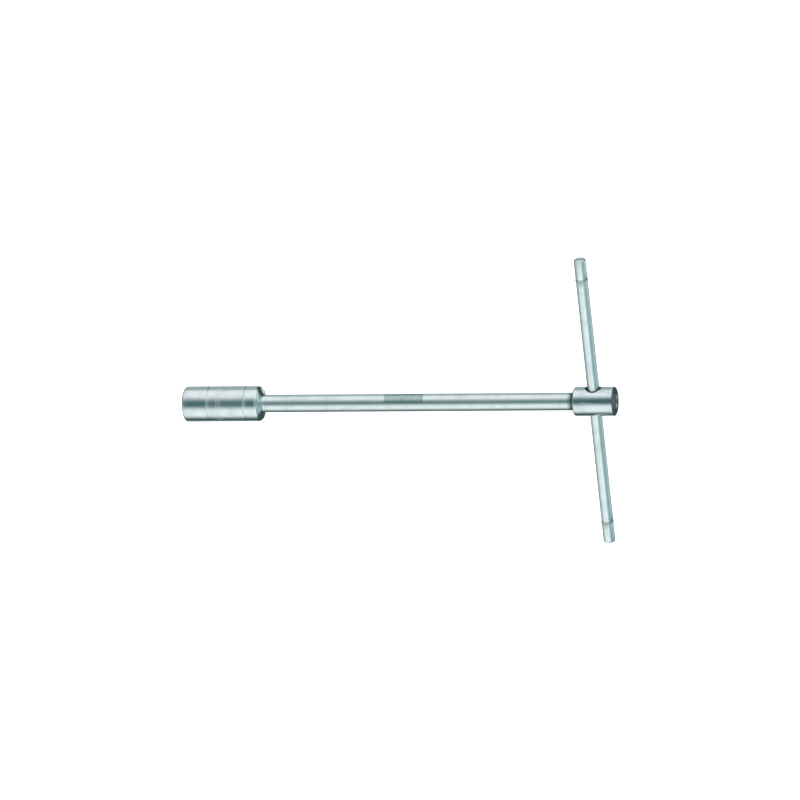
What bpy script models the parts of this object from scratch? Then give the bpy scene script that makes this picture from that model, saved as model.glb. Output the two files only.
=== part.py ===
"""T-handle socket wrench with a sliding cross bar.

A round shaft carries a hexagon socket on one end and a drilled head on the other. The cross bar
slides and turns in the head, held where it is put by a spring-loaded ball, and a snap ring near
each of its ends keeps it from falling out.

The tool lies on the plane z = 0 with its shaft along +X, socket at -X, and its bar along Y.
The origin is midway along the tool, under the shaft. Lengths are in metres.
"""

import math

import bmesh
import bpy
from mathutils import Matrix

MM = 0.001

# --- Driving dimensions -------------------------------------------------------------------------
TOOL_LENGTH = 300.0 * MM           # socket mouth to the head's end face

SOCKET_DIAMETER = 24.0 * MM
SOCKET_LENGTH = 56.8 * MM          # mouth to the end of the shoulder cone
SHOULDER_LENGTH = 4.1 * MM         # axial length of the shoulder cone
SHOULDER_FILLET = 3.6 * MM         # rounding between the socket's side and its cone
MOUTH_ROUNDING = 1.5 * MM
MOUTH_WALL_SHARE = 0.7             # most of the wall at the mouth that the rounding may take
HEX_ACROSS_FLATS = 17.0 * MM
HEX_DEPTH = 20.0 * MM
LEAD_IN_WIDER = 1.8 * MM           # mouth of the lead-in cone over the hexagon's flats
LEAD_IN_DEPTH = 1.2 * MM
RELIEF_NARROWER = 0.6 * MM         # round bore behind the hexagon, under its flats
RELIEF_DEPTH = 36.0 * MM
GROOVE_DEPTH = 0.25 * MM           # turned lines round the socket
GROOVE_WIDTH = 0.7 * MM
GROOVE_PLACES = (17.4 * MM, 43.4 * MM)

SHAFT_DIAMETER = 12.0 * MM
SPIGOT_DIAMETER = 9.0 * MM         # reduced ends of the shaft, pressed and brazed in place
SOCKET_SPIGOT_LENGTH = 12.0 * MM
HEAD_SPIGOT_LENGTH = 7.6 * MM

HEAD_DIAMETER = 19.6 * MM
HEAD_LENGTH = 28.0 * MM
HEAD_ROUNDING = 1.3 * MM           # front corner
HEAD_CHAMFER = 0.6 * MM            # rear corner
BRAZE_FILLET = 2.0 * MM            # hollow fillet where the shaft meets the head
BAR_FROM_END = 14.4 * MM           # cross bore's axis to the head's end face
COUNTERSINK_WIDTH = 1.5 * MM       # 45 degree countersink round each end of the cross bore

BAR_DIAMETER = 8.0 * MM
BAR_LENGTH = 203.0 * MM
BAR_CHAMFER = 0.6 * MM
BAR_CLEARANCE = 0.2 * MM           # radial running clearance in the head

RING_FROM_END = 14.5 * MM          # snap ring's centre to the bar's end
RING_WIDTH = 0.9 * MM
RING_PROUD = 0.3 * MM              # how far the ring stands out of the bar
RING_GROOVE_DEPTH = 0.8 * MM
RING_OPENING = math.radians(30.0)  # gap in the C-shaped ring

BALL_DIAMETER = 4.0 * MM
BALL_CLEARANCE = 0.3 * MM          # radial, in the pocket that also holds the spring
SPRING_WIRE = 0.4 * MM
SPRING_DIAMETER = 3.1 * MM         # outside
SPRING_TURNS = 4
PLUG_DIAMETER = 12.0 * MM
PLUG_EDGE = 1.3 * MM               # thickness at the plug's rim
PLUG_DOME = 0.4 * MM               # how far its middle stands out of its rim

GAP = 0.3 * MM                     # between pieces that touch on the real tool
SEAT_GAP = 0.15 * MM               # between the small pieces of the detent

SIDES = 48                         # facets round the socket and the head
ROD_SIDES = 32                     # facets round the shaft and the bar
BALL_SIDES = 24                    # facets round the ball, and half as many from end to end
SPRING_STEPS = 16                  # points on each turn of the spring
ARC_STEPS = 5                      # facets along a rounded corner
SHARP_ANGLE = math.radians(30.0)   # edges above this are shaded sharp

# --- Places along the tool, measured from the socket's mouth ------------------------------------
AXIS_HEIGHT = SOCKET_DIAMETER / 2
HEAD_FRONT = TOOL_LENGTH - HEAD_LENGTH
BAR_PLACE = TOOL_LENGTH - BAR_FROM_END
LEAD_IN_RADIUS = (HEX_ACROSS_FLATS + LEAD_IN_WIDER) / 2
RELIEF_RADIUS = (HEX_ACROSS_FLATS - RELIEF_NARROWER) / 2
MOUTH_CORNER = min(MOUTH_ROUNDING, MOUTH_WALL_SHARE * (SOCKET_DIAMETER / 2 - LEAD_IN_RADIUS))
SPIGOT_BORE_RADIUS = SPIGOT_DIAMETER / 2 + GAP
BAR_BORE_RADIUS = BAR_DIAMETER / 2 + BAR_CLEARANCE
POCKET_RADIUS = BALL_DIAMETER / 2 + BALL_CLEARANCE
BALL_PLACE = BAR_PLACE + BAR_DIAMETER / 2 + SEAT_GAP + BALL_DIAMETER / 2
PLUG_SEAT = TOOL_LENGTH - PLUG_EDGE - PLUG_DOME - GAP


def clear_scene():
    """Remove every object, so that the model starts from nothing."""
    for thing in list(bpy.data.objects):
        bpy.data.objects.remove(thing, do_unlink=True)


def steel(name, colour, roughness):
    """Return a metal material of one colour and roughness."""
    material = bpy.data.materials.new(name)
    material.use_nodes = True
    shader = material.node_tree.nodes["Principled BSDF"]
    shader.inputs["Base Color"].default_value = (*colour, 1.0)
    shader.inputs["Metallic"].default_value = 1.0
    shader.inputs["Roughness"].default_value = roughness
    material.diffuse_color = (*colour, 1.0)
    return material


def arc(centre, radius, start, end, steps=ARC_STEPS):
    """Return the points of an arc in the outline's plane, its angles in degrees from the axis."""
    points = []
    for step in range(steps + 1):
        angle = math.radians(start + (end - start) * step / steps)
        points.append((centre[0] + radius * math.cos(angle), centre[1] + radius * math.sin(angle)))
    return points


def turned_mesh(outline, sides):
    """Return a bmesh of an outline turned round the X axis.

    The outline's points are (along, radius). It starts and ends on the axis, or else it is a
    closed loop that stays clear of the axis.
    """
    shape = bmesh.new()
    solid = outline[0][1] == 0.0 and outline[-1][1] == 0.0
    rings = []
    for along, radius in outline:
        if radius == 0.0:
            rings.append([shape.verts.new((along, 0.0, 0.0))])
            continue
        ring = []
        for side in range(sides):
            turn = 2 * math.pi * side / sides
            ring.append(shape.verts.new((along, radius * math.sin(turn), radius * math.cos(turn))))
        rings.append(ring)
    pairs = list(zip(rings, rings[1:]))
    if not solid:
        pairs.append((rings[-1], rings[0]))
    for first, second in pairs:
        for side in range(sides):
            after = (side + 1) % sides
            corners = [first[side % len(first)], first[after % len(first)],
                       second[after % len(second)], second[side % len(second)]]
            shape.faces.new(dict.fromkeys(corners))
    bmesh.ops.recalc_face_normals(shape, faces=shape.faces)
    return shape


def prism_mesh(radius, start, end, sides):
    """Return a bmesh of a regular prism along X whose first flat faces +Z."""
    shape = bmesh.new()
    ends = []
    for along in (start, end):
        ring = []
        for side in range(sides):
            turn = 2 * math.pi * (side + 0.5) / sides
            ring.append(shape.verts.new((along, radius * math.sin(turn), radius * math.cos(turn))))
        ends.append(ring)
        shape.faces.new(ring)
    bmesh.ops.bridge_loops(shape, edges=[edge for edge in shape.edges])
    bmesh.ops.recalc_face_normals(shape, faces=shape.faces)
    return shape


def place(name, shape, material, location=(0.0, 0.0, 0.0), turn=None, parent=None):
    """Make an object of a bmesh, at a place in the tool's frame."""
    mesh = bpy.data.meshes.new(name)
    shape.to_mesh(mesh)
    shape.free()
    if turn is not None:
        mesh.transform(turn)
    mesh.shade_smooth()
    mesh.set_sharp_from_angle(angle=SHARP_ANGLE)
    thing = bpy.data.objects.new(name, mesh)
    thing.location = location
    thing.parent = parent
    bpy.context.collection.objects.link(thing)
    if material is not None:
        mesh.materials.append(material)
    return thing


def cut(target, cutter):
    """Cut one object out of another with an exact Boolean."""
    cutter.hide_render = True
    cutter.display_type = "WIRE"
    modifier = target.modifiers.new("cut_" + cutter.name, "BOOLEAN")
    modifier.operation = "DIFFERENCE"
    modifier.solver = "EXACT"
    modifier.object = cutter


def joint_empty(name, location):
    """Make an empty that marks a joint's place."""
    empty = bpy.data.objects.new(name, None)
    empty.empty_display_size = 10.0 * MM
    empty.location = location
    bpy.context.collection.objects.link(empty)
    return empty


def socket_outline():
    """Return the socket's outline: bolt-end bore, mouth, side, shoulder cone and spigot bore."""
    radius = SOCKET_DIAMETER / 2
    cone_end = SHAFT_DIAMETER / 2 + GAP
    cone_start = SOCKET_LENGTH - SHOULDER_LENGTH
    slope = math.degrees(math.atan2(radius - cone_end, SHOULDER_LENGTH))
    reach = SHOULDER_FILLET * math.tan(math.radians(slope / 2))
    spigot_floor = SOCKET_LENGTH - SOCKET_SPIGOT_LENGTH - GAP
    mouth = (MOUTH_CORNER, radius - MOUTH_CORNER)
    outline = [
        (RELIEF_DEPTH, 0.0),
        (RELIEF_DEPTH, RELIEF_RADIUS),
        (LEAD_IN_DEPTH, RELIEF_RADIUS),
        (0.0, LEAD_IN_RADIUS),
    ]
    outline += arc(mouth, MOUTH_CORNER, 180.0, 90.0)
    for middle in GROOVE_PLACES:
        outline += [
            (middle - GROOVE_WIDTH / 2, radius),
            (middle, radius - GROOVE_DEPTH),
            (middle + GROOVE_WIDTH / 2, radius),
        ]
    outline += arc((cone_start - reach, radius - SHOULDER_FILLET), SHOULDER_FILLET, 90.0, 90.0 - slope)
    outline += [
        (SOCKET_LENGTH, cone_end),
        (SOCKET_LENGTH, SPIGOT_BORE_RADIUS),
        (spigot_floor, SPIGOT_BORE_RADIUS),
        (spigot_floor, 0.0),
    ]
    return outline


def make_socket(mouth_place, material):
    """Make the socket with its hexagon recess."""
    socket = place("socket", turned_mesh(socket_outline(), SIDES), material, mouth_place)
    corner_radius = HEX_ACROSS_FLATS / 2 / math.cos(math.pi / 6)
    hexagon = prism_mesh(corner_radius, -1.0 * MM, HEX_DEPTH, 6)
    cut(socket, place("hexagon_cutter", hexagon, None, mouth_place))
    return socket


def make_shaft(mouth_place, material):
    """Make the shaft, whose reduced ends sit in the socket and the head."""
    spigot = SPIGOT_DIAMETER / 2
    radius = SHAFT_DIAMETER / 2
    front = SOCKET_LENGTH + GAP
    back = HEAD_FRONT - BRAZE_FILLET - GAP
    outline = [
        (front - SOCKET_SPIGOT_LENGTH, 0.0),
        (front - SOCKET_SPIGOT_LENGTH, spigot),
        (front, spigot),
        (front, radius),
        (back, radius),
        (back, spigot),
        (back + HEAD_SPIGOT_LENGTH, spigot),
        (back + HEAD_SPIGOT_LENGTH, 0.0),
    ]
    return place("shaft", turned_mesh(outline, ROD_SIDES), material, mouth_place)


def head_outline():
    """Return the head's outline: spigot bore, fillet, side, plug seat and ball pocket."""
    radius = HEAD_DIAMETER / 2
    neck = HEAD_FRONT - BRAZE_FILLET
    fillet_foot = SHAFT_DIAMETER / 2 + GAP
    spigot_floor = neck + HEAD_SPIGOT_LENGTH
    plug_bore = PLUG_DIAMETER / 2
    outline = [
        (spigot_floor, 0.0),
        (spigot_floor, SPIGOT_BORE_RADIUS),
        (neck, SPIGOT_BORE_RADIUS),
    ]
    outline += arc((neck, fillet_foot + BRAZE_FILLET), BRAZE_FILLET, -90.0, 0.0)
    corner = (HEAD_FRONT + HEAD_ROUNDING, radius - HEAD_ROUNDING)
    outline += arc(corner, HEAD_ROUNDING, 180.0, 90.0)
    outline += [
        (TOOL_LENGTH - HEAD_CHAMFER, radius),
        (TOOL_LENGTH, radius - HEAD_CHAMFER),
        (TOOL_LENGTH, plug_bore),
        (PLUG_SEAT - SEAT_GAP, plug_bore),
        (PLUG_SEAT - SEAT_GAP, POCKET_RADIUS),
        (BAR_PLACE + POCKET_RADIUS / 2, POCKET_RADIUS),
        (BAR_PLACE + POCKET_RADIUS / 2, 0.0),
    ]
    return outline


def make_head(mouth_place, bar_place, material):
    """Make the head with its countersunk cross bore."""
    head = place("head", turned_mesh(head_outline(), SIDES), material, mouth_place)
    side = HEAD_DIAMETER / 2
    past = COUNTERSINK_WIDTH
    wide = BAR_BORE_RADIUS + COUNTERSINK_WIDTH
    outline = [
        (-side - past, 0.0),
        (-side - past, wide + past),
        (-side + COUNTERSINK_WIDTH, BAR_BORE_RADIUS),
        (side - COUNTERSINK_WIDTH, BAR_BORE_RADIUS),
        (side + past, wide + past),
        (side + past, 0.0),
    ]
    along_y = Matrix.Rotation(math.pi / 2, 4, "Z")
    bore = place("bore_cutter", turned_mesh(outline, ROD_SIDES), None, bar_place, along_y)
    cut(head, bore)
    return head


def make_plug(mouth_place, material):
    """Make the domed plug that closes the ball's pocket."""
    radius = PLUG_DIAMETER / 2 - GAP
    rim = PLUG_SEAT + PLUG_EDGE
    dome_radius = (radius ** 2 + PLUG_DOME ** 2) / (2 * PLUG_DOME)
    spread = math.degrees(math.asin(radius / dome_radius))
    dome = arc((rim + PLUG_DOME - dome_radius, 0.0), dome_radius, spread, 0.0)
    outline = [(PLUG_SEAT, 0.0), (PLUG_SEAT, radius)] + dome[:-1] + [(rim + PLUG_DOME, 0.0)]
    return place("end_plug", turned_mesh(outline, SIDES), material, mouth_place)


def make_ball(mouth_place, material):
    """Make the ball that presses on the bar."""
    radius = BALL_DIAMETER / 2
    outline = arc((BALL_PLACE, 0.0), radius, 180.0, 0.0, steps=BALL_SIDES // 2)
    outline[0] = (BALL_PLACE - radius, 0.0)
    outline[-1] = (BALL_PLACE + radius, 0.0)
    return place("detent_ball", turned_mesh(outline, BALL_SIDES), material, mouth_place)


def make_spring(mouth_place, material):
    """Make the coil spring between the ball and the plug."""
    coil_radius = (SPRING_DIAMETER - SPRING_WIRE) / 2
    on_ball = math.sqrt((BALL_DIAMETER / 2) ** 2 - coil_radius ** 2)
    start = BALL_PLACE + on_ball + SPRING_WIRE / 2 + SEAT_GAP
    end = PLUG_SEAT - SPRING_WIRE / 2 - SEAT_GAP
    steps = SPRING_STEPS * SPRING_TURNS
    path = bpy.data.curves.new("detent_spring", "CURVE")
    path.dimensions = "3D"
    path.bevel_depth = SPRING_WIRE / 2
    path.bevel_resolution = 1
    path.use_fill_caps = True
    line = path.splines.new("POLY")
    line.points.add(steps)
    for step in range(steps + 1):
        turn = 2 * math.pi * SPRING_TURNS * step / steps
        along = start + (end - start) * step / steps
        line.points[step].co = (along, coil_radius * math.cos(turn), coil_radius * math.sin(turn), 1.0)
    path.materials.append(material)
    spring = bpy.data.objects.new("detent_spring", path)
    spring.location = mouth_place
    bpy.context.collection.objects.link(spring)
    return spring


def bar_outline():
    """Return the bar's outline, with a snap-ring groove near each end."""
    half = BAR_LENGTH / 2
    radius = BAR_DIAMETER / 2
    groove = half - RING_FROM_END
    half_width = RING_WIDTH / 2 + GAP
    floor = radius - RING_GROOVE_DEPTH
    outline = [
        (half, 0.0),
        (half, radius - BAR_CHAMFER),
        (half - BAR_CHAMFER, radius),
        (groove + half_width, radius),
        (groove + half_width, floor),
        (groove - half_width, floor),
        (groove - half_width, radius),
    ]
    return outline + [(-along, distance) for along, distance in reversed(outline)]


def make_bar(spin, material):
    """Make the cross bar about the empty on its own axis."""
    along_y = Matrix.Rotation(math.pi / 2, 4, "Z")
    return place("cross_bar", turned_mesh(bar_outline(), ROD_SIDES), material, turn=along_y, parent=spin)


def make_ring(name, along, slide, material):
    """Make one C-shaped snap ring, in its groove at a distance along the bar."""
    inner = BAR_DIAMETER / 2 - RING_GROOVE_DEPTH + SEAT_GAP
    outer = BAR_DIAMETER / 2 + RING_PROUD
    shape = bmesh.new()
    sections = []
    for step in range(ROD_SIDES):
        turn = RING_OPENING / 2 + (2 * math.pi - RING_OPENING) * step / (ROD_SIDES - 1)
        section = []
        for radius, side in ((inner, -1), (outer, -1), (outer, 1), (inner, 1)):
            corner = (radius * math.sin(turn), along + side * RING_WIDTH / 2, -radius * math.cos(turn))
            section.append(shape.verts.new(corner))
        sections.append(section)
    for first, second in zip(sections, sections[1:]):
        for corner in range(4):
            after = (corner + 1) % 4
            shape.faces.new((first[corner], first[after], second[after], second[corner]))
    shape.faces.new(sections[0])
    shape.faces.new(sections[-1])
    bmesh.ops.recalc_face_normals(shape, faces=shape.faces)
    return place(name, shape, material, parent=slide)


def main():
    """Build the whole tool."""
    clear_scene()
    chrome = steel("chrome_plated_steel", (0.72, 0.76, 0.76), 0.14)
    satin = steel("satin_chrome_socket", (0.70, 0.74, 0.74), 0.20)
    bright = steel("chrome_plated_bar", (0.74, 0.78, 0.77), 0.16)
    forged = steel("polished_head", (0.70, 0.75, 0.75), 0.12)
    plug_steel = steel("pressed_plug", (0.60, 0.65, 0.65), 0.20)
    bearing = steel("bearing_ball", (0.62, 0.62, 0.62), 0.08)
    wire = steel("spring_wire", (0.35, 0.35, 0.36), 0.35)
    ring_steel = steel("ring_wire", (0.42, 0.44, 0.45), 0.30)

    mouth_place = (-TOOL_LENGTH / 2, 0.0, AXIS_HEIGHT)
    bar_place = (BAR_PLACE - TOOL_LENGTH / 2, 0.0, AXIS_HEIGHT)
    make_socket(mouth_place, satin)
    make_shaft(mouth_place, chrome)
    make_head(mouth_place, bar_place, forged)
    make_plug(mouth_place, plug_steel)
    make_ball(mouth_place, bearing)
    make_spring(mouth_place, wire)

    slide = joint_empty("bar_slide", bar_place)
    spin = joint_empty("bar_spin", (0.0, 0.0, 0.0))
    spin.parent = slide
    make_bar(spin, bright)
    ring_place = BAR_LENGTH / 2 - RING_FROM_END
    make_ring("snap_ring_left", ring_place, slide, ring_steel)
    make_ring("snap_ring_right", -ring_place, slide, ring_steel)


main()
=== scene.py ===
"""Looks of a chrome-plated T-handle socket wrench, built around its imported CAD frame."""

import logging
import math
from collections.abc import Iterable, Sequence
from dataclasses import dataclass
from enum import Enum

import bmesh
import bpy
from mathutils import Matrix, Vector


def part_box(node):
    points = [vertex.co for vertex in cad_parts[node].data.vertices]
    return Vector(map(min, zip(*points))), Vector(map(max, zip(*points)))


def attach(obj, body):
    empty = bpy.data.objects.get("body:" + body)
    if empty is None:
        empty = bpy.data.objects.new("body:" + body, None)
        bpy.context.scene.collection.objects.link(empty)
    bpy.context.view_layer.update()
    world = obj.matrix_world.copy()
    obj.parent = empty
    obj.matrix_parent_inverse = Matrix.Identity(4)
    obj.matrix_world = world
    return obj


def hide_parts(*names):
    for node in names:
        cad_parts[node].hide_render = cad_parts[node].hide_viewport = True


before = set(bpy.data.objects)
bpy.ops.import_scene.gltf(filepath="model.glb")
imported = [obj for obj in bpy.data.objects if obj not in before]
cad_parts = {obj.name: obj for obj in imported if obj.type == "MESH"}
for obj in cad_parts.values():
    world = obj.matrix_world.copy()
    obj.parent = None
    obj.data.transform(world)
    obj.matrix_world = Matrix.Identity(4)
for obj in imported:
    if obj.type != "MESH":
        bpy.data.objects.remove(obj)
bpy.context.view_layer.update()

MM = 0.001
ROUND_SIDES = 192                  # facets round the socket, head and plug
ROD_SIDES = 128                    # facets round the shaft and the bar
SHARP_ANGLE = math.radians(28.0)
CUTTER_PAST = 1.0 * MM             # how far a cutter reaches past what it cuts
PLUG_RADIUS = 6.0 * MM             # the plug's seat in the head
JOINT_SHADE_TONE = "#2c4245"                   # painted shade where the shaft meets the head, on both of them
LOG = logging.getLogger("wrench")

Outline = list[tuple[float, float]]


class Axis(Enum):
    """The axis that a turned piece is round about."""

    X = "X"
    Y = "Y"


class Grain(Enum):
    """Which way the fine lines of a finish run on a round piece."""

    ROUND = "round"                # turned or belt-polished across the piece
    ALONG = "along"                # drawn or linished down its length


# --- Colours and nodes --------------------------------------------------------------------------

MATH = "ShaderNodeMath"
VECTOR = "ShaderNodeVectorMath"
RANGE = "ShaderNodeMapRange"
MIX = "ShaderNodeMix"
NOISE = "ShaderNodeTexNoise"
SMOOTH = "SMOOTHSTEP"

Tree = bpy.types.NodeTree
Socket = bpy.types.NodeSocket
Look = tuple[Socket, Socket]           # a finish's colour and its roughness


def linear(hex_colour: str) -> tuple[float, float, float, float]:
    """Turn an sRGB hex colour into linear RGBA.

    Args:
        hex_colour: Six hexadecimal digits, with or without a leading "#".

    Returns:
        The colour as linear red, green, blue and an alpha of 1.
    """
    digits = hex_colour.lstrip("#")
    parts = [int(digits[place:place + 2], 16) / 255 for place in (0, 2, 4)]
    red, green, blue = (
        part / 12.92 if part <= 0.04045 else ((part + 0.055) / 1.055) ** 2.4 for part in parts)
    return (red, green, blue, 1.0)


def add_node(tree: Tree, kind: str, links: dict | None = None, out: str | int = 0,
             **settings) -> Socket | None:
    """Add one node with its settings and its inputs.

    Args:
        tree: The node tree that it goes in.
        kind: The node's type, such as "ShaderNodeMath".
        links: Input name or number to a value, or to the output socket that feeds it.
        out: Name or number of the output that is wanted.
        **settings: Attributes of the node, such as operation="MULTIPLY".

    Returns:
        The wanted output, or None from a node that has none.
    """
    node = tree.nodes.new(kind)
    for name, value in settings.items():
        setattr(node, name, value)
    for key, value in (links or {}).items():
        socket = node.inputs[key]
        if isinstance(value, Socket):
            tree.links.new(value, socket)
        else:
            socket.default_value = value
    return node.outputs[out] if len(node.outputs) else None


@dataclass(frozen=True)
class Patch:
    """A rectangular etched patch on a round bar along X, facing one way."""

    start: float                   # along X, in metres
    end: float
    facing: float                  # degrees from +Z towards +Y
    half_angle: float              # degrees either side of facing
    radius: float
    tone: str = "#8eaaa3"          # etched plate is a matt grey-green
    edge: float = 0.3 * MM         # blur of its two ends
    dot_spacing: float = 0.9 * MM  # coarser than real etching, so that the dots show
    blotch: float = 2.5 * MM       # size of its uneven places


@dataclass(frozen=True)
class Band:
    """A band round a piece along X, such as a satin ring or a band of painted shade."""

    start: float
    end: float
    rougher: float                 # added to the roughness
    soft: float = 0.25 * MM        # blur of the band's edges
    darker: float = 0.0            # how far it goes to the tone
    tone: str = "#3f4d4e"          # a dull grey, used as painted dark reflection on the head's end face and the plug's rim


@dataclass(frozen=True)
class BoreShade:
    """Painted shade in a cross bore along Y: its inside and countersinks darkened and dulled."""

    x: float
    z: float
    radius: float                  # out to the rim of its countersink
    darker: float
    rougher: float
    tone: str = "#1c2424"          # the painted shade's near-black grey
    edge: float = 0.5 * MM         # over which the painted shade fades in from the rim


@dataclass(frozen=True)
class Wear:
    """Plate that is rubbed dull towards a rim."""

    fades_at: float                # X where it has died away
    rim: float                     # X of the rim, where it is strongest
    tone: str = "#8f9897"
    spot_size: float = 1.8 * MM


@dataclass(frozen=True)
class PlatedSteel:
    """Chrome plate on carbon steel that was turned, drawn or polished before plating.

    To the eye it is a cool, bright mirror that is softened by the tool marks under the thin plate:
    hair-fine lines one way, a slow cloudiness, a few rubbed scratches, and duller handled places.
    """

    name: str
    colour: str                    # sRGB hex of the metal's reflection
    shade: str                     # sRGB hex of its cloudier, duller places
    roughness: float
    grain: Grain
    axis: Axis
    line_spacing: float = 0.35 * MM    # coarser than real tool marks, so that the lines show
    line_depth: float = 0.004 * MM
    cloud_size: float = 9.0 * MM
    scratch_run: float = 25.0 * MM     # length of the noise that a scratch is a thin slice of
    scratch_across: float = 2.380952 * MM  # its width, wider than life so that scratches show
    bands: tuple[Band, ...] = ()
    patch: Patch | None = None
    bore: BoreShade | None = None
    wear: Wear | None = None

    def make(self) -> bpy.types.Material:
        """Build the material's nodes.

        Returns:
            The finished material.
        """
        material = bpy.data.materials.new(self.name)
        material.use_nodes = True
        tree = material.node_tree
        shader = tree.nodes["Principled BSDF"]
        shader.inputs["Metallic"].default_value = 1.0
        where = add_node(tree, "ShaderNodeTexCoord", out="Object")
        lines = self.lines(tree, where)
        scratches = self.scratches(tree, where)

        clouds = add_node(tree, NOISE, {
            "Vector": where, "Scale": 1 / self.cloud_size, "Detail": 4.0, "Roughness": 0.6,
        }, out="Fac")
        dull = add_node(tree, RANGE, {
            "Value": clouds, "From Min": 0.42, "From Max": 0.75,
        }, interpolation_type=SMOOTH)
        colour = add_node(tree, MIX, {
            "Factor": dull, "A": linear(self.colour), "B": linear(self.shade),
        }, out="Result", data_type="RGBA")
        rough = add_node(tree, RANGE, {
            "Value": clouds, "From Min": 0.3, "From Max": 0.7,
            "To Min": self.roughness - 0.02, "To Max": self.roughness + 0.05,
        })
        for marks, amount in ((lines, 0.05), (scratches, 0.16)):
            rough = add_node(tree, MATH, {0: marks, 1: amount, 2: rough}, operation="MULTIPLY_ADD")

        look = (colour, rough)
        for treat in (self.banded, self.etched, self.shade_bore, self.worn):
            look = treat(tree, where, look)
        tree.links.new(look[0], shader.inputs["Base Color"])
        tree.links.new(look[1], shader.inputs["Roughness"])

        height = add_node(tree, MATH, {0: scratches, 1: -0.8, 2: lines}, operation="MULTIPLY_ADD")
        bump = add_node(tree, "ShaderNodeBump", {
            "Height": height, "Strength": 0.35, "Distance": self.line_depth,
        })
        tree.links.new(bump, shader.inputs["Normal"])
        return material

    def lines(self, tree: Tree, where: Socket) -> Socket:
        """Draw the fine lines that run round or along the piece.

        Args:
            tree: The material's nodes.
            where: The place on the piece.

        Returns:
            The lines, as a height about 0.5.
        """
        fine = 1 / self.line_spacing
        slow = fine / 60
        runs_along_axis = self.grain is Grain.ALONG
        scales = [fine, fine, fine] if runs_along_axis else [slow, slow, slow]
        scales["XY".index(self.axis.value)] = slow if runs_along_axis else fine
        stretched = add_node(tree, "ShaderNodeMapping", {"Vector": where, "Scale": scales})
        return add_node(tree, NOISE, {
            "Vector": stretched, "Scale": 1.0, "Detail": 3.0, "Roughness": 0.55,
        }, out="Fac")

    def scratches(self, tree: Tree, where: Socket) -> Socket:
        """Draw sparse short scratches, as thin slices of a stretched noise.

        Args:
            tree: The material's nodes.
            where: The place on the piece.

        Returns:
            1 on a scratch and 0 elsewhere.
        """
        across = 1 / self.scratch_across
        tilted = add_node(tree, "ShaderNodeMapping", {
            "Vector": where, "Rotation": (0.5, 0.3, 0.9),
            "Scale": (1 / self.scratch_run, across, across),
        })
        noise = add_node(tree, NOISE, {"Vector": tilted, "Scale": 1.0, "Detail": 2.0}, out="Fac")
        return add_node(tree, RANGE, {
            "Value": noise, "From Min": 0.70, "From Max": 0.74,
        }, interpolation_type=SMOOTH)

    def banded(self, tree: Tree, where: Socket, look: Look) -> Look:
        """Add the satin bands and the bands of painted shade round the piece.

        Args:
            tree: The material's nodes.
            where: The place on the piece.
            look: The colour and roughness so far.

        Returns:
            The colour and roughness with the bands.
        """
        for band in self.bands:
            mask = self.stretch(tree, where, band.start, band.end, band.soft)
            look = self.laid_over(tree, look, mask, band.darker, band.tone, band.rougher)
        return look

    def etched(self, tree: Tree, where: Socket, look: Look) -> Look:
        """Add the etched patch: a plain grey, finely dotted rectangle with no lettering.

        Args:
            tree: The material's nodes.
            where: The place on the piece.
            look: The colour and roughness so far.

        Returns:
            The colour and roughness with the patch.
        """
        if self.patch is None:
            return look
        patch = self.patch
        turn = math.radians(patch.facing)
        facing = add_node(tree, VECTOR, {
            0: where, 1: (0.0, math.sin(turn), math.cos(turn)),
        }, out="Value", operation="DOT_PRODUCT")
        level = patch.radius * math.cos(math.radians(patch.half_angle))
        level += AXIS_HEIGHT * math.cos(turn)
        across = add_node(tree, RANGE, {
            "Value": facing, "From Min": level - 0.1 * MM, "From Max": level + 0.1 * MM,
        }, interpolation_type=SMOOTH)
        along = self.stretch(tree, where, patch.start, patch.end, patch.edge)
        mask = add_node(tree, MATH, {0: along, 1: across}, operation="MULTIPLY")
        dots = add_node(tree, "ShaderNodeTexVoronoi", {
            "Vector": where, "Scale": 1 / patch.dot_spacing, "Randomness": 0.35,
        }, out="Distance")
        blotches = add_node(tree, NOISE, {
            "Vector": where, "Scale": 1 / patch.blotch, "Detail": 3.0,
        }, out="Fac")
        depth = add_node(tree, RANGE, {
            "Value": blotches, "From Min": 0.3, "From Max": 0.7, "To Min": 0.42, "To Max": 0.66,
        })
        depth = add_node(tree, MATH, {0: dots, 1: 0.35, 2: depth}, operation="MULTIPLY_ADD")
        return self.laid_over(tree, look, mask, depth, patch.tone, 0.01)

    def shade_bore(self, tree: Tree, where: Socket, look: Look) -> Look:
        """Paint shade on the inside of the cross bore and its countersinks.

        Args:
            tree: The material's nodes.
            where: The place on the piece.
            look: The colour and roughness so far.

        Returns:
            The colour and roughness with the painted shade in the bore.
        """
        if self.bore is None:
            return look
        bore = self.bore
        flat = add_node(tree, VECTOR, {
            0: where, 1: (1.0, 0.0, 1.0), 2: (-bore.x, 0.0, -bore.z),
        }, operation="MULTIPLY_ADD")
        away = add_node(tree, VECTOR, {0: flat}, out="Value", operation="LENGTH")
        inside = add_node(tree, RANGE, {
            "Value": away, "From Min": bore.radius, "From Max": bore.radius - bore.edge,
        }, interpolation_type=SMOOTH)
        return self.laid_over(tree, look, inside, bore.darker, bore.tone, bore.rougher)

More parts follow.
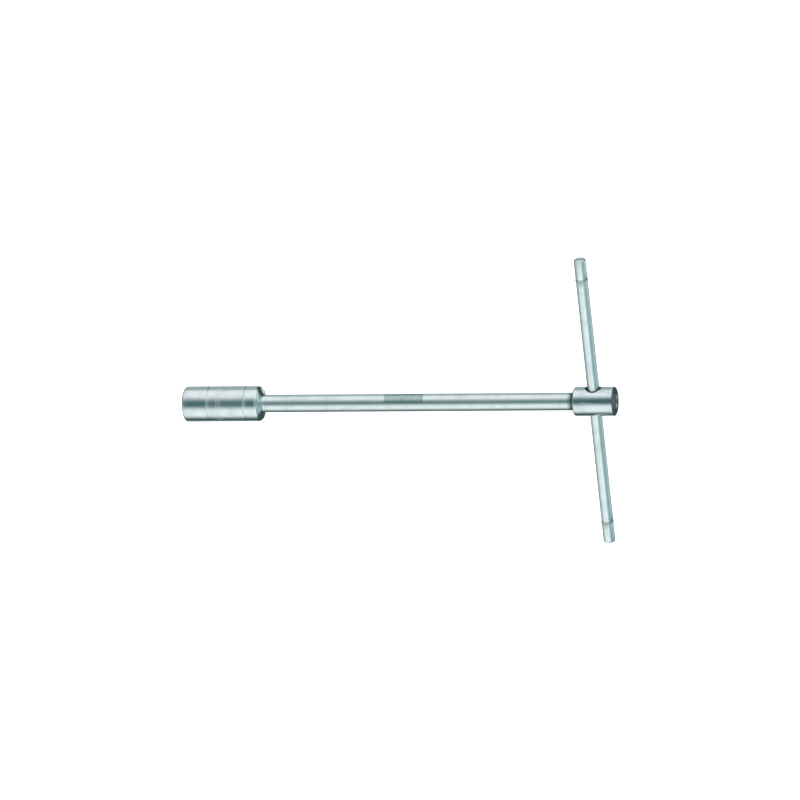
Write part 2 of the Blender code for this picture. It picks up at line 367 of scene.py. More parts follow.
    def worn(self, tree: Tree, where: Socket, look: Look) -> Look:
        """Rub the rim dull, in spots, where it meets the work.

        Args:
            tree: The material's nodes.
            where: The place on the piece.
            look: The colour and roughness so far.

        Returns:
            The colour and roughness with the wear.
        """
        if self.wear is None:
            return look
        along = add_node(tree, "ShaderNodeSeparateXYZ", {0: where}, out="X")
        near = add_node(tree, RANGE, {
            "Value": along, "From Min": self.wear.fades_at, "From Max": self.wear.rim,
        }, interpolation_type=SMOOTH)
        noise = add_node(tree, NOISE, {
            "Vector": where, "Scale": 1 / self.wear.spot_size, "Detail": 5.0, "Roughness": 0.65,
        }, out="Fac")
        spots = add_node(tree, RANGE, {
            "Value": noise, "From Min": 0.40, "From Max": 0.62,
        }, interpolation_type=SMOOTH)
        mask = add_node(tree, MATH, {0: near, 1: spots}, operation="MULTIPLY")
        return self.laid_over(tree, look, mask, 0.5, self.wear.tone, 0.14)

    @staticmethod
    def stretch(tree: Tree, where: Socket, start: float, end: float, soft: float) -> Socket:
        """Mark a stretch along X.

        Args:
            tree: The material's nodes.
            where: The place on the piece.
            start: X where it begins.
            end: X where it ends.
            soft: Blur either side of both ends.

        Returns:
            1 on the stretch and 0 off it.
        """
        along = add_node(tree, "ShaderNodeSeparateXYZ", {0: where}, out="X")
        rise = add_node(tree, RANGE, {
            "Value": along, "From Min": start - soft, "From Max": start + soft,
        }, interpolation_type=SMOOTH)
        fall = add_node(tree, RANGE, {
            "Value": along, "From Min": end + soft, "From Max": end - soft,
        }, interpolation_type=SMOOTH)
        return add_node(tree, MATH, {0: rise, 1: fall}, operation="MULTIPLY")

    @staticmethod
    def laid_over(tree: Tree, look: Look, mask: Socket, amount: Socket | float, tone: str,
                  rougher: float) -> Look:
        """Lay a duller place, or painted shade, over the plate.

        Args:
            tree: The material's nodes.
            look: The colour and roughness so far.
            mask: 1 where the place is and 0 elsewhere.
            amount: How far the colour goes to the tone.
            tone: sRGB hex colour of the place.
            rougher: What it adds to the roughness.

        Returns:
            The new colour and roughness.
        """
        factor = add_node(tree, MATH, {0: mask, 1: amount}, operation="MULTIPLY")
        colour = add_node(tree, MIX, {
            "Factor": factor, "A": look[0], "B": linear(tone),
        }, out="Result", data_type="RGBA")
        rough = add_node(tree, MATH, {0: mask, 1: rougher, 2: look[1]}, operation="MULTIPLY_ADD")
        return colour, rough


# --- Meshes -------------------------------------------------------------------------------------


def arc(centre: tuple[float, float], radius: float, start: float, end: float,
        steps: int = 8) -> Outline:
    """Return points along an arc of an outline.

    Args:
        centre: The arc's centre as (along, radius).
        radius: The arc's radius.
        start: Angle of its first point, in degrees from the piece's axis.
        end: Angle of its last point.
        steps: How many straight steps stand for it.

    Returns:
        The points, first and last included.
    """
    angles = [math.radians(start + (end - start) * step / steps) for step in range(steps + 1)]
    return [(centre[0] + radius * math.cos(turn), centre[1] + radius * math.sin(turn))
            for turn in angles]


def stepped(start: float, end: float, radius: float, step: float) -> Outline:
    """Return a straight stretch of an outline in short steps, which keeps shading even."""
    count = max(1, round(abs(end - start) / step))
    return [(start + (end - start) * place / count, radius) for place in range(count + 1)]


def lathe(outline: Outline, sides: int) -> bmesh.types.BMesh:
    """Turn an outline round the X axis.

    Args:
        outline: Points as (along, radius), which start and end on the axis or loop clear of it.
        sides: Facets round the piece.

    Returns:
        The closed surface.
    """
    shape = bmesh.new()
    rings: list[list[bmesh.types.BMVert]] = []
    for along, radius in outline:
        count = 1 if radius == 0.0 else sides
        turns = [2 * math.pi * side / sides for side in range(count)]
        rings.append([
            shape.verts.new((along, radius * math.sin(turn), radius * math.cos(turn)))
            for turn in turns])
    pairs = list(zip(rings, rings[1:]))
    if len(rings[0]) > 1:
        pairs.append((rings[-1], rings[0]))
    for first, second in pairs:
        for side in range(sides):
            after = (side + 1) % sides
            corners = (first[side % len(first)], first[after % len(first)],
                       second[after % len(second)], second[side % len(second)])
            shape.faces.new(dict.fromkeys(corners))
    bmesh.ops.recalc_face_normals(shape, faces=shape.faces)
    return shape


def hexagon(across_flats: float, start: float, end: float) -> bmesh.types.BMesh:
    """Make a hexagonal prism along X with one flat facing +Z.

    Args:
        across_flats: Distance between opposite flats.
        start: Where it starts along X.
        end: Where it ends.

    Returns:
        The closed prism.
    """
    shape = bmesh.new()
    reach = across_flats / 2 / math.cos(math.pi / 6)
    turns = [math.pi / 3 * (corner + 0.5) for corner in range(6)]
    ring = [shape.verts.new((start, reach * math.sin(turn), reach * math.cos(turn)))
            for turn in turns]
    face = shape.faces.new(ring)
    grown = bmesh.ops.extrude_face_region(shape, geom=[face])
    moved = [item for item in grown["geom"] if isinstance(item, bmesh.types.BMVert)]
    bmesh.ops.translate(shape, verts=moved, vec=(end - start, 0.0, 0.0))
    bmesh.ops.recalc_face_normals(shape, faces=shape.faces)
    return shape


def make_object(name: str, shape: bmesh.types.BMesh, place: Vector,
                turn: Matrix | None = None) -> bpy.types.Object:
    """Make an object of a surface, with its place in its mesh.

    Args:
        name: The object's name.
        shape: The surface, which is freed.
        place: Where the surface's own origin goes.
        turn: A rotation applied first.

    Returns:
        The object, at the frame's origin.
    """
    mesh = bpy.data.meshes.new(name)
    shape.to_mesh(mesh)
    shape.free()
    if turn is not None:
        mesh.transform(turn)
    mesh.transform(Matrix.Translation(place))
    mesh.shade_smooth()
    mesh.set_sharp_from_angle(angle=SHARP_ANGLE)
    thing = bpy.data.objects.new(name, mesh)
    bpy.context.scene.collection.objects.link(thing)
    return thing


def cut_out(target: bpy.types.Object, cutter: bpy.types.Object) -> None:
    """Cut one object out of another, and delete the cutter.

    Args:
        target: The object that is cut.
        cutter: The object whose shape is taken away.
    """
    modifier = target.modifiers.new("cut", "BOOLEAN")
    modifier.operation = "DIFFERENCE"
    modifier.solver = "EXACT"
    modifier.object = cutter
    settle(target)
    bpy.data.objects.remove(cutter, do_unlink=True)


def break_edges(thing: bpy.types.Object, width: float) -> None:
    """Round every sharp edge slightly, as deburring does, so that it catches the light.

    Args:
        thing: The object whose edges are rounded.
        width: How far the rounding goes in from an edge.
    """
    modifier = thing.modifiers.new("deburr", "BEVEL")
    modifier.width = width
    modifier.segments = 2
    modifier.limit_method = "ANGLE"
    modifier.angle_limit = SHARP_ANGLE
    modifier.use_clamp_overlap = True
    settle(thing)


def settle(thing: bpy.types.Object) -> None:
    """Put the result of an object's modifiers in its mesh.

    Args:
        thing: The object, which keeps its name and loses its modifiers.
    """
    graph = bpy.context.evaluated_depsgraph_get()
    graph.update()
    mesh = bpy.data.meshes.new_from_object(thing.evaluated_get(graph))
    thing.modifiers.clear()
    thing.data = mesh
    mesh.name = thing.name
    mesh.shade_smooth()
    mesh.set_sharp_from_angle(angle=SHARP_ANGLE)


def true_round(thing: bpy.types.Object, radius: float) -> None:
    """Give the faces on a cylinder about the tool's axis exact normals, so that cuts don't ripple.

    Args:
        thing: The object whose mesh is shaded.
        radius: The cylinder's radius.
    """
    mesh = thing.data
    normals = [corner.vector.copy() for corner in mesh.corner_normals]
    for polygon in mesh.polygons:
        points = [mesh.vertices[index].co for index in polygon.vertices]
        spokes = [Vector((0.0, point.y, point.z - AXIS_HEIGHT)) for point in points]
        if all(abs(spoke.length - radius) < 0.02 * MM for spoke in spokes):
            for loop, spoke in zip(polygon.loop_indices, spokes):
                normals[loop] = spoke.normalized()
    mesh.normals_split_custom_set(normals)


# --- The tool's own frame -----------------------------------------------------------------------

SOCKET_LOW, SOCKET_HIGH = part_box("socket")
HEAD_LOW, HEAD_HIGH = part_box("head")
SHAFT_LOW, SHAFT_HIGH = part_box("shaft")
BAR_LOW, BAR_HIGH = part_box("cross_bar")
AXIS_HEIGHT = (SOCKET_LOW.z + SOCKET_HIGH.z) / 2
MOUTH = Vector((SOCKET_LOW.x, 0.0, AXIS_HEIGHT))
BAR_CENTRE = (BAR_LOW + BAR_HIGH) / 2
SHAFT_RADIUS = (SHAFT_HIGH.z - SHAFT_LOW.z) / 2
TURN_TO_Y = Matrix.Rotation(math.pi / 2, 4, "Z")


class SubAssembly:
    """A group of pieces that are built, dressed and mounted together."""

    def mount(self, piece: bpy.types.Object, body: str, slot: str, node: str,
              material: bpy.types.Material) -> None:
        """Dress a piece and join it to the frame.

        Args:
            piece: The new mesh.
            body: The CAD body that it rides on.
            slot: The record's material slot for the piece; not used.
            node: The CAD node that it stands for.
            material: Its finish.
        """
        piece.data.materials.clear()
        piece.data.materials.append(material)
        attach(piece, body)
        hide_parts(node)
        LOG.info("%s stands for %s on %s", piece.name, node, body)

    def dress(self, nodes: Iterable[str], material: bpy.types.Material) -> None:
        """Give CAD nodes that keep their shape a better finish.

        Args:
            nodes: The names of the CAD nodes.
            material: Their finish.
        """
        for name in nodes:
            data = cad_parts[name].data
            data.materials.clear()
            data.materials.append(material)
            LOG.info("%s keeps its shape, in %s", name, material.name)


@dataclass
class HexSocket(SubAssembly):
    """The round socket: hexagon recess, turned lines, rounded shoulder and cone."""

    mouth_rounding: float = 1.5 * MM
    across_flats: float = 17.0 * MM
    hex_depth: float = 20.0 * MM
    lead_in_radius: float = 9.4 * MM
    lead_in_depth: float = 1.2 * MM
    relief_radius: float = 8.2 * MM
    relief_depth: float = 36.0 * MM
    shoulder_length: float = 4.1 * MM
    shoulder_fillet: float = 3.6 * MM
    cone_foot_fillet: float = 2.0 * MM
    groove_depth: float = 0.25 * MM
    groove_width: float = 0.7 * MM
    groove_places: tuple[float, ...] = (17.4 * MM, 43.4 * MM)
    satin_ring: tuple[float, float] = (23.8 * MM, 28.0 * MM)
    worn_length: float = 4.0 * MM
    deburr: float = 0.10 * MM

    def outline(self) -> Outline:
        """Draw the socket's outline.

        Returns:
            Points from its recess floor round to its solid back.
        """
        radius = (SOCKET_HIGH.z - SOCKET_LOW.z) / 2
        length = SOCKET_HIGH.x - SOCKET_LOW.x
        cone_start = length - self.shoulder_length
        slope = math.degrees(math.atan2(radius - SHAFT_RADIUS, self.shoulder_length))
        reach = self.shoulder_fillet * math.tan(math.radians(slope / 2))
        corner = (self.mouth_rounding, radius - self.mouth_rounding)
        line = [(self.relief_depth, 0.0), (self.relief_depth, self.relief_radius)]
        line += stepped(self.hex_depth + 1.0 * MM, self.lead_in_depth, self.relief_radius, 4.0 * MM)
        line += [(0.0, self.lead_in_radius)]
        line += arc(corner, self.mouth_rounding, 180.0, 90.0)
        place = self.mouth_rounding
        for middle in self.groove_places:
            edge = self.groove_width / 2
            line += stepped(place, middle - edge, radius, 3.0 * MM)[1:]
            line += [(middle, radius - self.groove_depth), (middle + edge, radius)]
            place = middle + edge
        line += stepped(place, cone_start - reach, radius, 3.0 * MM)[1:-1]
        shoulder = (cone_start - reach, radius - self.shoulder_fillet)
        line += arc(shoulder, self.shoulder_fillet, 90.0, 90.0 - slope, steps=14)
        foot_reach = self.cone_foot_fillet * math.tan(math.radians(slope / 2))
        foot = (length - foot_reach * 0.2, SHAFT_RADIUS + self.cone_foot_fillet)
        line += arc(foot, self.cone_foot_fillet, -90.0 - slope, -90.0)
        line += [(foot[0], 0.0)]
        return line

    def build(self) -> None:
        """Build, dress and mount the socket."""
        piece = make_object("socket_body", lathe(self.outline(), ROUND_SIDES), MOUTH)
        recess = hexagon(self.across_flats, -CUTTER_PAST, self.hex_depth)
        cut_out(piece, make_object("hexagon_tool", recess, MOUTH))
        break_edges(piece, self.deburr)
        satin = Band(MOUTH.x + self.satin_ring[0], MOUTH.x + self.satin_ring[1],
                     rougher=0.09, soft=0.8 * MM)
        marked = Band(MOUTH.x + self.groove_places[0], MOUTH.x + self.groove_places[1],
                      rougher=0.03, soft=0.4 * MM)
        # Turned on a lathe before plating: bright bands blurred by rings, a satin ring round the
        # middle where it is held, and a rim rubbed dull in spots by the work.
        finish = PlatedSteel(
            "chrome_plated_turned_steel", "#dfe6e6", "#ccd6d6", 0.15, Grain.ROUND, Axis.X,
            bands=(satin, marked), wear=Wear(fades_at=MOUTH.x + self.worn_length, rim=MOUTH.x),
        )
        self.mount(piece, "wrench", "socket_steel", "socket", finish.make())


@dataclass
class Shaft(SubAssembly):
    """The plain round shaft with its etched patch."""

    patch_start: float = 140.8 * MM
    patch_end: float = 168.0 * MM
    patch_facing: float = 66.0
    patch_half_angle: float = 45.0
    shade_before_joint: float = 1.2 * MM      # the painted shade, either side of its joint with the head
    shade_after_joint: float = 5.0 * MM

    def build(self) -> None:
        """Build, dress and mount the shaft."""
        start = SHAFT_LOW.x - MOUTH.x
        end = SHAFT_HIGH.x - MOUTH.x
        line = [(start, 0.0)] + stepped(start, end, SHAFT_RADIUS, 6.0 * MM) + [(end, 0.0)]
        piece = make_object("shaft_rod", lathe(line, ROD_SIDES), MOUTH)
        patch = Patch(MOUTH.x + self.patch_start, MOUTH.x + self.patch_end, self.patch_facing,
                      self.patch_half_angle, SHAFT_RADIUS)
        # Painted shade: the shaft darkened towards the head, standing in for the head's shade and
        # dark reflection.
        shaft_joint_shade = Band(HEAD_LOW.x - self.shade_before_joint, SHAFT_HIGH.x + self.shade_after_joint, rougher=0.06,
                      soft=1.9 * MM, darker=0.75, tone=JOINT_SHADE_TONE)
        # Drawn rod, plated: softer bands than the socket's with lines down its length, a matt
        # grey-green etched patch, and painted shade that darkens it towards the head.
        finish = PlatedSteel(
            "chrome_plated_drawn_rod", "#e0e8e7", "#cfd9d8", 0.26, Grain.ALONG, Axis.X,
            bands=(shaft_joint_shade,), patch=patch,
        )
        self.mount(piece, "wrench", "shaft_steel", "shaft", finish.make())


@dataclass
class DrilledHead(SubAssembly):
    """The head with its countersunk cross bore, plug seat and front fillet."""

    rounding: float = 1.3 * MM
    chamfer: float = 0.6 * MM
    crown: float = 0.15 * MM       # how far the end face falls back towards its chamfer
    front_fillet: float = 2.0 * MM
    countersink: float = 1.5 * MM
    bar_clearance: float = 0.2 * MM
    plug_seat_depth: float = 2.15 * MM
    face_width: float = 0.4 * MM   # the flat between the plug's seat and the crown
    deburr: float = 0.10 * MM

    def outline(self) -> Outline:
        """Draw the head's outline.

        Returns:
            Points from the shaft's joint to the floor of the plug's seat.
        """
        radius = (HEAD_HIGH.z - HEAD_LOW.z) / 2
        neck = HEAD_LOW.x - MOUTH.x
        front = neck + self.front_fillet
        end = HEAD_HIGH.x - MOUTH.x
        line = [(neck, 0.0)]
        line += arc((neck, SHAFT_RADIUS + self.front_fillet), self.front_fillet, -90.0, 0.0)
        line += arc((front + self.rounding, radius - self.rounding), self.rounding, 180.0, 90.0)
        line += stepped(front + self.rounding, end - self.chamfer, radius, 0.8 * MM)[1:]
        line += [(end - self.crown, radius - self.chamfer), (end, PLUG_RADIUS + self.face_width)]
        line += [(end, PLUG_RADIUS)]
        line += [(end - self.plug_seat_depth, PLUG_RADIUS), (end - self.plug_seat_depth, 0.0)]
        return line

    def bore_outline(self) -> Outline:
        """Draw the cross bore's cutter.

        Returns:
            Points along the bore, with a countersink at each end.
        """
        side = (HEAD_HIGH.z - HEAD_LOW.z) / 2
        bore = (BAR_HIGH.z - BAR_LOW.z) / 2 + self.bar_clearance
        end = side + CUTTER_PAST
        wide = bore + self.countersink + CUTTER_PAST
        half = [(end, 0.0), (end, wide), (side - self.countersink, bore)]
        return [(-along, radius) for along, radius in half] + half[::-1]

    def build(self) -> None:
        """Build, dress and mount the head."""
        piece = make_object("head_body", lathe(self.outline(), ROUND_SIDES), MOUTH)
        bore_tool = lathe(self.bore_outline(), ROD_SIDES)
        cut_out(piece, make_object("bore_tool", bore_tool, BAR_CENTRE, TURN_TO_Y))
        break_edges(piece, self.deburr)
        true_round(piece, (HEAD_HIGH.z - HEAD_LOW.z) / 2)
        crown_start = HEAD_HIGH.x - self.crown
        # Painted shade in the front fillet, where the head meets the shaft.
        fillet_shade = Band(HEAD_LOW.x - 1.0 * MM, HEAD_LOW.x + self.front_fillet + 0.75 * MM,
                    rougher=0.12, soft=0.3 * MM, darker=0.86, tone=JOINT_SHADE_TONE)
        # Painted dark reflection on the end's chamfer, and a lighter one on the face inside it.
        turned = Band(HEAD_HIGH.x - self.chamfer, crown_start,
                      rougher=0.05, soft=0.05 * MM, darker=0.90, tone="#24363a")
        end_face_shade = Band(crown_start, HEAD_HIGH.x + 0.2 * MM,
                     rougher=0.05, soft=0.05 * MM, darker=0.40)
        rim = (BAR_HIGH.z - BAR_LOW.z) / 2 + self.bar_clearance + self.countersink
        # Polished before plating: the clearest bands on the tool, with painted shade in the fillet
        # by the shaft, a painted dark reflection on the end's chamfer and face, and painted shade
        # in the cross bore.
        finish = PlatedSteel(
            "chrome_plated_polished_head", "#dde5e5", "#cbd5d5", 0.13, Grain.ROUND, Axis.X,
            line_depth=0.002 * MM, bands=(fillet_shade, turned, end_face_shade),
            bore=BoreShade(BAR_CENTRE.x, BAR_CENTRE.z, rim, darker=0.85, rougher=0.15),
        )
        self.mount(piece, "wrench", "head_steel", "head", finish.make())


@dataclass
class Detent(SubAssembly):
    """The plug, ball and spring that hold the bar where it is put."""

    plug_gap: float = 0.08 * MM
    dome: float = 0.4 * MM
    rim_width: float = 0.30 * MM
    deburr: float = 0.15 * MM

    def build(self) -> None:
        """Build the domed plug, and dress the hidden ball and spring."""
        low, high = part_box("end_plug")
        radius = PLUG_RADIUS - self.plug_gap
        back = low.x - MOUTH.x
        rim = high.x - MOUTH.x - self.dome
        sphere = (radius ** 2 + self.dome ** 2) / (2 * self.dome)
        spread = math.degrees(math.asin(radius / sphere))
        face = arc((rim + self.dome - sphere, 0.0), sphere, spread, 0.0, steps=16)
        line = [(back, 0.0), (back, radius)] + face[:-1] + [(rim + self.dome, 0.0)]
        plug = make_object("end_plug_disc", lathe(line, ROUND_SIDES), MOUTH)
        break_edges(plug, self.deburr)
        plug_rim_shade = Band(low.x, high.x - self.rim_width, rougher=0.04, soft=0.05 * MM, darker=0.40)
        # A pressed disc, plated: a pale, slightly soft dome, with a painted dark reflection round
        # its rim.
        disc = PlatedSteel(
            "chrome_plated_pressed_disc", "#e4ecec", "#cfd9d9", 0.16, Grain.ROUND, Axis.X,
            bands=(plug_rim_shade,),
        )
        self.mount(plug, "wrench", "plug_steel", "end_plug", disc.make())
        # Ground steel: a small sharp mirror, a little darker and more neutral than plate.
        ball = PlatedSteel("ground_bearing_steel", "#c3c5c6", "#a9adaf", 0.08, Grain.ROUND, Axis.X)
        self.dress(["detent_ball"], ball.make())
        # Oiled wire: dark grey with a broad, greasy highlight.
        wire = PlatedSteel("oiled_spring_wire", "#8d8f92", "#6f7275", 0.30, Grain.ALONG, Axis.X)
        self.dress(["detent_spring"], wire.make())


@dataclass
class SlidingBar(SubAssembly):
    """The cross bar and its two snap rings."""

    chamfer: float = 0.6 * MM
    ring_from_end: float = 14.5 * MM
    groove_half_width: float = 0.52 * MM
    groove_depth: float = 0.8 * MM
    ring_seat: float = 0.15 * MM       # how far a ring stands off its groove's floor
    ring_opening: float = 30.0         # degrees
    ring_steps: int = 96
    section_sides: int = 16            # round the wire
    section_squareness: float = 0.6    # 0 is a round wire, 1 a square one
    deburr: float = 0.15 * MM

    def bar_outline(self) -> Outline:
        """Draw the bar's outline.

        Returns:
            Points from one end to the other, about its middle.
        """
        half = (BAR_HIGH.y - BAR_LOW.y) / 2
        radius = (BAR_HIGH.z - BAR_LOW.z) / 2
        groove = half - self.ring_from_end
        floor = radius - self.groove_depth
        edge = self.groove_half_width
        right = [(half, 0.0), (half, radius - self.chamfer), (half - self.chamfer, radius)]
        right += stepped(half - self.chamfer, groove + edge, radius, 4.0 * MM)[1:]
        right += [(groove + edge, floor), (groove - edge, floor)]
        right += stepped(groove - edge, 0.0, radius, 6.0 * MM)[:-1]
        return right + [(0.0, radius)] + [(-along, distance) for along, distance in reversed(right)]

    def ring(self, name: str, node: str) -> bpy.types.Object:
        """Make one open wire ring where its CAD node is.

        Args:
            name: The new piece's name.
            node: The CAD ring that gives its place and size.

        Returns:
            The ring.
        """
        low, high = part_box(node)
        width = (high.y - low.y) / 2
        outer = (high.x - low.x) / 2
        inner = (BAR_HIGH.z - BAR_LOW.z) / 2 - self.groove_depth + self.ring_seat
        middle = (outer + inner) / 2
        thick = (outer - inner) / 2
        shape = bmesh.new()
        sections: list[list[bmesh.types.BMVert]] = []
        opening = math.radians(self.ring_opening)
        for step in range(self.ring_steps):
            turn = opening / 2 + (2 * math.pi - opening) * step / (self.ring_steps - 1)
            section = []
            for corner in range(self.section_sides):
                spin = 2 * math.pi * corner / self.section_sides
                out, along = math.cos(spin), math.sin(spin)
                squarish = 1 / max(abs(out), abs(along)) ** self.section_squareness
                reach = middle + thick * math.copysign(min(1.0, squarish * abs(out)), out)
                side = width * math.copysign(min(1.0, squarish * abs(along)), along)
                place = (reach * math.sin(turn), side, -reach * math.cos(turn))
                section.append(shape.verts.new(place))
            sections.append(section)
        for first, second in zip(sections, sections[1:]):
            for corner in range(self.section_sides):
                after = (corner + 1) % self.section_sides
                shape.faces.new((first[corner], first[after], second[after], second[corner]))
        shape.faces.new(sections[0])
        shape.faces.new(sections[-1])
        bmesh.ops.recalc_face_normals(shape, faces=shape.faces)
        seat = Vector((BAR_CENTRE.x, (low.y + high.y) / 2, BAR_CENTRE.z))
        return make_object(name, shape, seat)

    def build(self) -> None:
        """Build, dress and mount the bar and its rings."""
        bar = make_object("bar_rod", lathe(self.bar_outline(), ROD_SIDES), BAR_CENTRE, TURN_TO_Y)
        break_edges(bar, self.deburr)
        # Drawn bar, plated: pale soft bands with lines down its length, like the shaft's.
        finish = PlatedSteel(
            "chrome_plated_drawn_bar", "#e2e9e8", "#d0dad9", 0.25, Grain.ALONG, Axis.Y)
        self.mount(bar, "bar", "bar_steel", "cross_bar", finish.make())
        # Zinc on wire: a greyer, broader sheen than chrome, so the rings stand out from the bar.
        wire = PlatedSteel(
            "zinc_plated_ring_wire", "#d3dbdb", "#b9c2c2", 0.36, Grain.ALONG, Axis.Y).make()
        for side in ("left", "right"):
            node = "snap_ring_" + side
            self.mount(self.ring("wire_ring_" + side, node), "stop_rings", "ring_steel", node, wire)


# --- Camera and studio --------------------------------------------------------------------------


@dataclass
class StudioCamera:
    """A long-lens camera turned about the tool.

    The near end of the shaft turns towards it by one angle, and the bar's upper end by another.
    """

    shaft_turn: float = 16.0       # degrees that the head's end comes nearer
    bar_tilt: float = 22.0         # degrees that the bar's upper end comes nearer
    roll: float = 0.39             # degrees that the shaft rises to the right
    distance: float = 4.5
    field: float = 537.6 * MM      # width of the view at the tool
    rise: float = 1.8 * MM         # the view's centre above the shaft's middle
    across: float = 0.6 * MM       # and to the right of it
    sensor: float = 36.0

    def basis(self) -> tuple[Vector, Vector, Vector]:
        """Work out the view's directions in the tool's frame.

        Returns:
            Right, up and towards the camera.
        """
        turn = math.radians(self.shaft_turn)
        tilt = math.radians(self.bar_tilt)
        right = Vector((
            math.cos(turn), -math.sin(tilt) * math.sin(turn), -math.sin(turn) * math.cos(tilt)))
        up = Vector((0.0, math.cos(tilt), -math.sin(tilt)))
        back = right.cross(up)
        spin = Matrix.Rotation(-math.radians(self.roll), 3, back)
        return spin @ right, spin @ up, back

    def build(self) -> None:
        """Make the camera and use it."""
        right, up, back = self.basis()
        data = bpy.data.cameras.new("studio_camera")
        data.sensor_width = self.sensor
        data.lens = self.sensor * self.distance / self.field
        data.clip_end = 100.0
        camera = bpy.data.objects.new("studio_camera", data)
        target = Vector((0.0, 0.0, AXIS_HEIGHT)) + up * self.rise + right * self.across
        turned = Matrix((right, up, back)).transposed().to_4x4()
        camera.matrix_world = Matrix.Translation(target + back * self.distance) @ turned
        bpy.context.scene.collection.objects.link(camera)
        bpy.context.scene.camera = camera
        LOG.info("camera %.0f mm at %.1f m", data.lens, self.distance)


@dataclass(frozen=True)
class Softbox:
    """A soft light or grey wall beside the tool, as angles round the shaft and a reach along it."""

    start: float                   # degrees round the shaft from the camera's side, upwards
    end: float
    start_edge: float              # degrees over which it comes up
    end_edge: float                # degrees over which it dies away
    low: float                     # reach along the shaft, as a direction's X
    high: float
    fade: float                    # soft edge along the shaft
    colour: str
    power: float


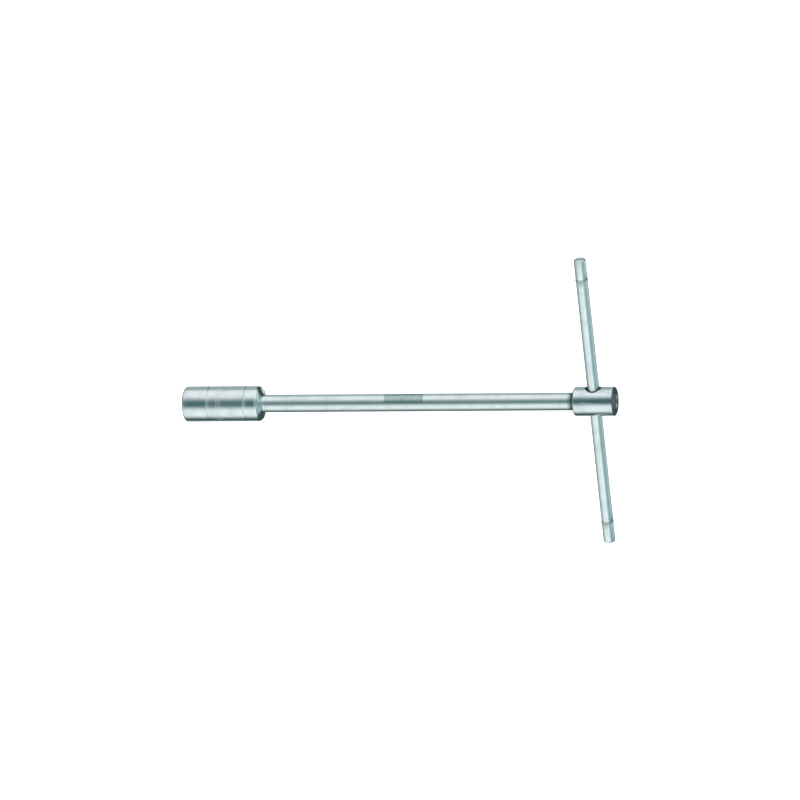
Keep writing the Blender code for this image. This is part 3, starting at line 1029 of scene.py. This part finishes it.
@dataclass
class Studio:
    """A pale floor under a room of soft lights with dark gaps, which give chrome its bands."""

    floor_size: float = 60.0
    dark_colour: str = "#405355"
    mottle_size: float = 1000.0 / 3 * MM   # of the floor's faint unevenness
    boxes: tuple[Softbox, ...] = (
        # upper softbox
        Softbox(31.0, 104.0, 46.0, 34.0, -0.62, 0.45, 0.28, "#fafafe", 1.01),
        # lower softbox
        Softbox(-98.0, -28.0, 42.0, 40.0, -0.62, 0.30, 0.40, "#f6fbfc", 1.05),
        # grey back wall
        Softbox(112.0, 218.0, 24.0, 34.0, -0.55, -0.20, 0.20, "#a3b0b3", 1.00),
        # strip that lights the end
        Softbox(161.5, 172.0, 6.0, 6.0, -0.05, 0.36, 0.12, "#f6fbfa", 1.05),
        # strip that edges the bar
        Softbox(172.0, 197.0, 8.0, 10.0, 0.50, 0.90, 0.08, "#f2fbfa", 0.62),
        # card past the head
        Softbox(95.0, 265.0, 24.0, 24.0, 0.86, 2.0, 0.14, "#a9c3c9", 0.95),
        # grey wall past the head
        Softbox(-98.0, -22.0, 30.0, 30.0, 0.60, 2.0, 0.35, "#a3b5b5", 0.70),
        # grey wall beside the camera
        Softbox(-50.0, 60.0, 40.0, 40.0, 0.02, 2.0, 0.16, "#a3b9bd", 0.60),
        # narrow card by the socket
        Softbox(-34.0, 34.0, 16.0, 16.0, -0.62, -0.48, 0.07, "#e8f0f0", 0.55),
        # card past the socket
        Softbox(-165.0, -50.0, 20.0, 20.0, -2.0, -0.82, 0.16, "#9fb0b3", 0.85),
        # the camera's dark side
        Softbox(-26.0, 28.0, 24.0, 24.0, -0.90, 0.00, 0.12, "#28504e", 0.80),
        # strip in front of the mouth
        Softbox(-60.0, 75.0, 30.0, 30.0, -2.0, -0.93, 0.05, "#dfeaea", 0.70),
        # softbox over the head
        Softbox(50.0, 112.0, 30.0, 16.0, 0.72, 1.0, 0.10, "#f2f5f5", 0.80),
    )

    @staticmethod
    def lit(tree: Tree, turn: Socket, along: Socket, box: Softbox) -> Socket:
        """Mark where one softbox is in the room.

        Args:
            tree: The world's nodes.
            turn: The direction's angle round the shaft.
            along: Its reach along the shaft.
            box: The softbox.

        Returns:
            1 on the softbox and 0 off it, with its soft edges.
        """
        middle = math.radians((box.start + box.end) / 2)
        half = math.radians((box.end - box.start) / 2)
        up_edge = math.radians(box.start_edge / 2)
        down_edge = math.radians(box.end_edge / 2)
        offset = add_node(tree, MATH, {0: turn, 1: middle}, operation="SUBTRACT")
        wrapped = add_node(tree, MATH, {0: offset, 1: math.pi, 2: -math.pi}, operation="WRAP")
        edges = (
            (wrapped, -half - up_edge, -half + up_edge),
            (wrapped, half + down_edge, half - down_edge),
            (along, box.low - box.fade, box.low),
            (along, box.high + box.fade, box.high),
        )
        mask = 1.0
        for value, unlit_at, lit_at in edges:
            edge = add_node(tree, RANGE, {
                "Value": value, "From Min": unlit_at, "From Max": lit_at,
            }, interpolation_type=SMOOTH)
            mask = add_node(tree, MATH, {0: mask, 1: edge}, operation="MULTIPLY")
        return mask

    def room(self, camera: StudioCamera) -> None:
        """Build the world: white where the camera looks past the tool, a lit room in reflections.

        Args:
            camera: The camera that the room is turned to face.
        """
        _, up, back = camera.basis()
        above = Vector((0.0, up.y, up.z)).normalized()
        side = Vector((0.0, back.y, back.z)).normalized()
        world = bpy.data.worlds.new("soft_studio")
        world.use_nodes = True
        tree = world.node_tree
        tree.nodes.clear()
        way = add_node(tree, "ShaderNodeTexCoord", out="Generated")
        upward, sideways, along = (
            add_node(tree, VECTOR, {0: way, 1: axis}, out="Value", operation="DOT_PRODUCT")
            for axis in (above, side, Vector((1.0, 0.0, 0.0))))
        turn = add_node(tree, MATH, {0: upward, 1: sideways}, operation="ARCTAN2")
        total = Vector(linear(self.dark_colour)[:3])
        for box in self.boxes:
            glow = Vector(linear(box.colour)[:3]) * box.power
            shone = add_node(tree, VECTOR, {
                0: glow, "Scale": self.lit(tree, turn, along, box),
            }, operation="SCALE")
            total = add_node(tree, VECTOR, {0: total, 1: shone}, operation="ADD")
        lit_room = add_node(tree, "ShaderNodeBackground", {"Color": total})
        white = add_node(tree, "ShaderNodeBackground", {"Color": linear("#ffffff")})
        seen = add_node(tree, "ShaderNodeLightPath", out="Is Camera Ray")
        mixed = add_node(tree, "ShaderNodeMixShader", {0: seen, 1: lit_room, 2: white})
        add_node(tree, "ShaderNodeOutputWorld", {"Surface": mixed})
        bpy.context.scene.world = world

    def floor(self) -> None:
        """Lay the pale floor, lit from beneath like a light table."""
        shape = bmesh.new()
        bmesh.ops.create_grid(shape, x_segments=8, y_segments=8, size=self.floor_size / 2)
        mesh = bpy.data.meshes.new("studio_floor")
        shape.to_mesh(mesh)
        shape.free()
        # Matt white acrylic: an even white with hardly any sheen, so the tool stands on nothing.
        material = bpy.data.materials.new("matt_white_acrylic")
        material.use_nodes = True
        tree = material.node_tree
        shader = tree.nodes["Principled BSDF"]
        where = add_node(tree, "ShaderNodeTexCoord", out="Object")
        mottle = add_node(tree, NOISE, {
            "Vector": where, "Scale": 1 / self.mottle_size,
        }, out="Fac")
        tone = add_node(tree, MIX, {
            "Factor": mottle, "A": linear("#fbfcfc"), "B": linear("#f5f7f7"),
        }, out="Result", data_type="RGBA")
        tree.links.new(tone, shader.inputs["Base Color"])
        shader.inputs["Roughness"].default_value = 0.8
        shader.inputs["Specular IOR Level"].default_value = 0.1
        shader.inputs["Emission Color"].default_value = linear("#ffffff")
        shader.inputs["Emission Strength"].default_value = 1.0
        mesh.materials.append(material)
        floor = bpy.data.objects.new("studio_floor", mesh)
        floor.visible_glossy = False
        bpy.context.scene.collection.objects.link(floor)

    def build(self, camera: StudioCamera) -> None:
        """Build the room and the floor, and show colours as they are.

        Args:
            camera: The camera that the room is turned to face.
        """
        self.room(camera)
        self.floor()
        bpy.context.scene.view_settings.view_transform = "Standard"


def corners(box: Sequence[Vector]) -> list[list[float]]:
    """Return a box's two corners as plain lists of numbers."""
    return [[round(value, 6) for value in corner] for corner in box]


def main() -> None:
    """Build the sub-assemblies in order, then the camera and the studio."""
    logging.basicConfig(level=logging.INFO, format="%(name)s: %(message)s")
    for assembly in (HexSocket(), Shaft(), DrilledHead(), Detent(), SlidingBar()):
        assembly.build()
    camera = StudioCamera()
    camera.build()
    Studio().build(camera)


if __name__ == "__main__":
    main()
